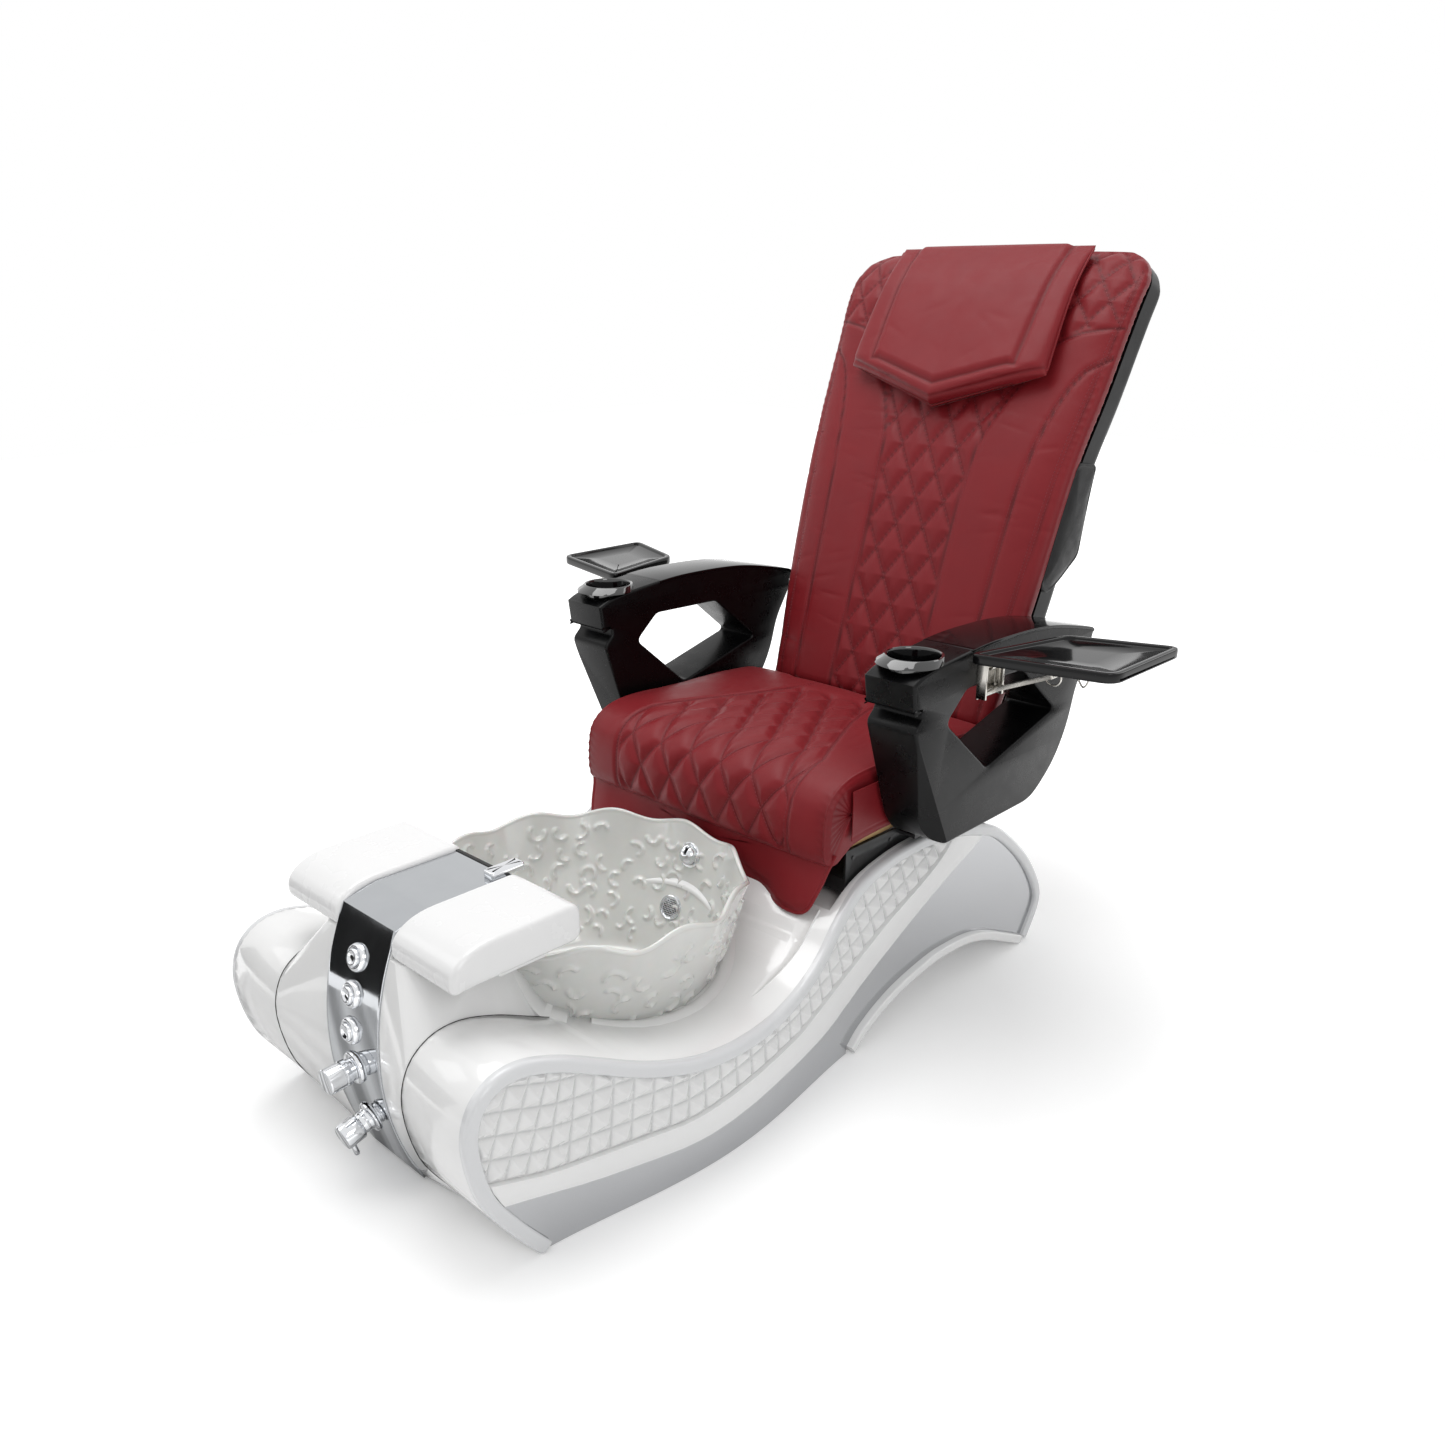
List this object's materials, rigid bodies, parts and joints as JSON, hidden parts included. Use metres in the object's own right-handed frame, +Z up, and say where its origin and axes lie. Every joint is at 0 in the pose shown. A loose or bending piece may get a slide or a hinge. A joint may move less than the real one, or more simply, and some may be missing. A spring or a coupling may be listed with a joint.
{
  "type": "pedicure spa chair",
  "caption": "Pedicure spa chair: moulded foot-bath base with bowl, taps and footrest, sliding reclining massage seat, armrests with cup holders and fold-down trays.",
  "frame": {"origin": "underside of the floor frame's middle cross tube, on the floor, on the plane of symmetry", "axes": "+Z up, -Y towards the foot end, +Y towards the back, +X to the sitter's left"},
  "size_m": [1.256, 1.668, 1.2952],
  "materials": {
    "base_gelcoat": "glossy white gel-coated fibreglass",
    "rim_grey": "satin pale grey moulding",
    "embossed_panel": "glossy white vacuum-formed panel with square pyramids",
    "polished_steel": "mirror polished stainless sheet",
    "frame_steel": "powder coated steel",
    "rubber_black": "black rubber",
    "pad_pu": "glossy white moulded polyurethane skin",
    "bowl_pearl": "pearl white cast resin glass",
    "chrome": "polished chrome plate",
    "brass": "machined brass",
    "pipe_pex": "cross-linked polyethylene tube",
    "pipe_dark": "moulded grey plastic",
    "pump_body": "moulded dark plastic",
    "rail_steel": "zinc plated steel",
    "leather_red": "soft burgundy upholstery leather, quilted and topstitched",
    "leather_black": "soft black upholstery leather",
    "plywood": "birch plywood",
    "arm_satin": "satin black polyurethane moulding",
    "gloss_black": "piano black lacquered panel",
    "nickel": "nickel plated steel",
    "shell_black": "smooth black moulded ABS"
  },
  "bodies": {
    "base": {"base_shell": "base_gelcoat", "base_frame": "frame_steel", "levelling_feet": "rubber_black", "rim_band_left": "rim_grey", "rim_band_right": "rim_grey", "side_panel_left": "embossed_panel", "side_panel_right": "embossed_panel", "steel_panel_left": "polished_steel", "steel_panel_right": "polished_steel", "arch_trims": "base_gelcoat", "console_shell": "base_gelcoat", "console_cover": "polished_steel", "footrest_bracket": "frame_steel", "footrest_pad_left": "pad_pu", "footrest_pad_right": "pad_pu", "bowl": "bowl_pearl", "jet_housing": "chrome", "suction_grille": "chrome", "drain_pipe": "pipe_dark", "filler_spout": "chrome", "button_bezels": "chrome", "mixer_body": "chrome", "water_valves": "brass", "supply_pipes": "pipe_pex", "jet_pump": "pump_body", "control_box": "pump_body", "seat_rails": "rail_steel"},
    "seat": {"seat_frame": "frame_steel", "slide_motor": "rail_steel", "seat_pan": "plywood", "seat_cushion": "leather_red", "front_skirt": "leather_red", "seat_side_covers": "leather_red", "arm_left": "arm_satin", "arm_right": "arm_satin", "arm_top_left": "gloss_black", "arm_top_right": "gloss_black", "cup_holder_left": "gloss_black", "cup_holder_right": "gloss_black", "tray_brackets": "nickel", "recline_actuator": "rail_steel"},
    "backrest": {"back_frame": "frame_steel", "back_shell": "shell_black", "back_cushion": "leather_red", "headrest_pillow": "leather_red", "side_pockets": "leather_black", "massage_rails": "rail_steel"},
    "massage_carriage": {"massage_carriage": "pump_body"},
    "massage_rollers": {"massage_rollers": "rubber_black"},
    "tray_left": {"tray_left": "gloss_black"},
    "tray_right": {"tray_right": "gloss_black"},
    "tray_strut_left": {"tray_strut_left": "nickel"},
    "tray_strut_right": {"tray_strut_right": "nickel"},
    "recline_rod": {"recline_rod": "rail_steel"},
    "air_button_1": {"air_button_1": "chrome"},
    "air_button_2": {"air_button_2": "chrome"},
    "air_button_3": {"air_button_3": "chrome"},
    "flow_knob": {"flow_knob": "chrome"},
    "mixer_lever": {"mixer_lever": "chrome"},
    "jet_cap": {"jet_cap": "chrome"}
  },
  "joints": [
    {"name": "seat_slide", "type": "slide", "parent": "base", "child": "seat", "axis": [0, 1, 0], "range_m": [0, 0.12]},
    {"name": "recline", "type": "hinge", "parent": "seat", "child": "backrest", "pos_m": [0, 0.6, 0.43], "axis": [-1, 0, 0], "range_deg": [-6, 16]},
    {"name": "recline_rod_slide", "type": "slide", "parent": "seat", "child": "recline_rod", "axis": [0, -1, 0], "range_m": [-0.012, 0.0295]},
    {"name": "massage_travel", "type": "slide", "parent": "backrest", "child": "massage_carriage", "axis": [0, 0.3665, 0.9304], "range_m": [-0.24, 0.31]},
    {"name": "massage_roll", "type": "hinge", "parent": "massage_carriage", "child": "massage_rollers", "pos_m": [0, 0.76148, 0.83932], "axis": [1, 0, 0], "continuous": true},
    {"name": "tray_left_fold", "type": "hinge", "parent": "seat", "child": "tray_left", "pos_m": [0.413, 0.31, 0.664], "axis": [0, 1, 0], "range_deg": [0, 90]},
    {"name": "tray_strut_left_fold", "type": "hinge", "parent": "seat", "child": "tray_strut_left", "pos_m": [0.413, 0.31, 0.622], "axis": [0, 1, 0], "range_deg": [0, 114]},
    {"name": "tray_right_fold", "type": "hinge", "parent": "seat", "child": "tray_right", "pos_m": [-0.413, 0.31, 0.664], "axis": [0, -1, 0], "range_deg": [0, 90]},
    {"name": "tray_strut_right_fold", "type": "hinge", "parent": "seat", "child": "tray_strut_right", "pos_m": [-0.413, 0.31, 0.622], "axis": [0, -1, 0], "range_deg": [0, 114]},
    {"name": "air_button_1_press", "type": "slide", "parent": "base", "child": "air_button_1", "axis": [0, 0.9491, -0.3149], "range_m": [0, 0.004], "stiffness_N_per_m": 600, "springref_m": -0.002},
    {"name": "air_button_2_press", "type": "slide", "parent": "base", "child": "air_button_2", "axis": [0, 0.9807, -0.1954], "range_m": [0, 0.004], "stiffness_N_per_m": 600, "springref_m": -0.002},
    {"name": "air_button_3_press", "type": "slide", "parent": "base", "child": "air_button_3", "axis": [0, 0.9975, -0.0713], "range_m": [0, 0.004], "stiffness_N_per_m": 600, "springref_m": -0.002},
    {"name": "flow_turn", "type": "hinge", "parent": "base", "child": "flow_knob", "pos_m": [0, -0.62103, 0.186], "axis": [0, -0.9978, -0.0667], "range_deg": [-135, 135]},
    {"name": "mixer_turn", "type": "hinge", "parent": "base", "child": "mixer_lever", "pos_m": [0, -0.60541, 0.096], "axis": [0, -0.9619, -0.2736], "range_deg": [-60, 60]},
    {"name": "jet_cap_turn", "type": "hinge", "parent": "base", "child": "jet_cap", "pos_m": [0, 0.04658, 0.292], "axis": [0, -0.9511, 0.309], "range_deg": [0, 30]}
  ],
  "couplings": [
    {"joint": "recline_rod_slide", "follows": "recline", "m_per_rad": 0.0997},
    {"joint": "tray_strut_left_fold", "follows": "tray_left_fold", "ratio": 1.259},
    {"joint": "tray_strut_right_fold", "follows": "tray_right_fold", "ratio": 1.259}
  ]
}
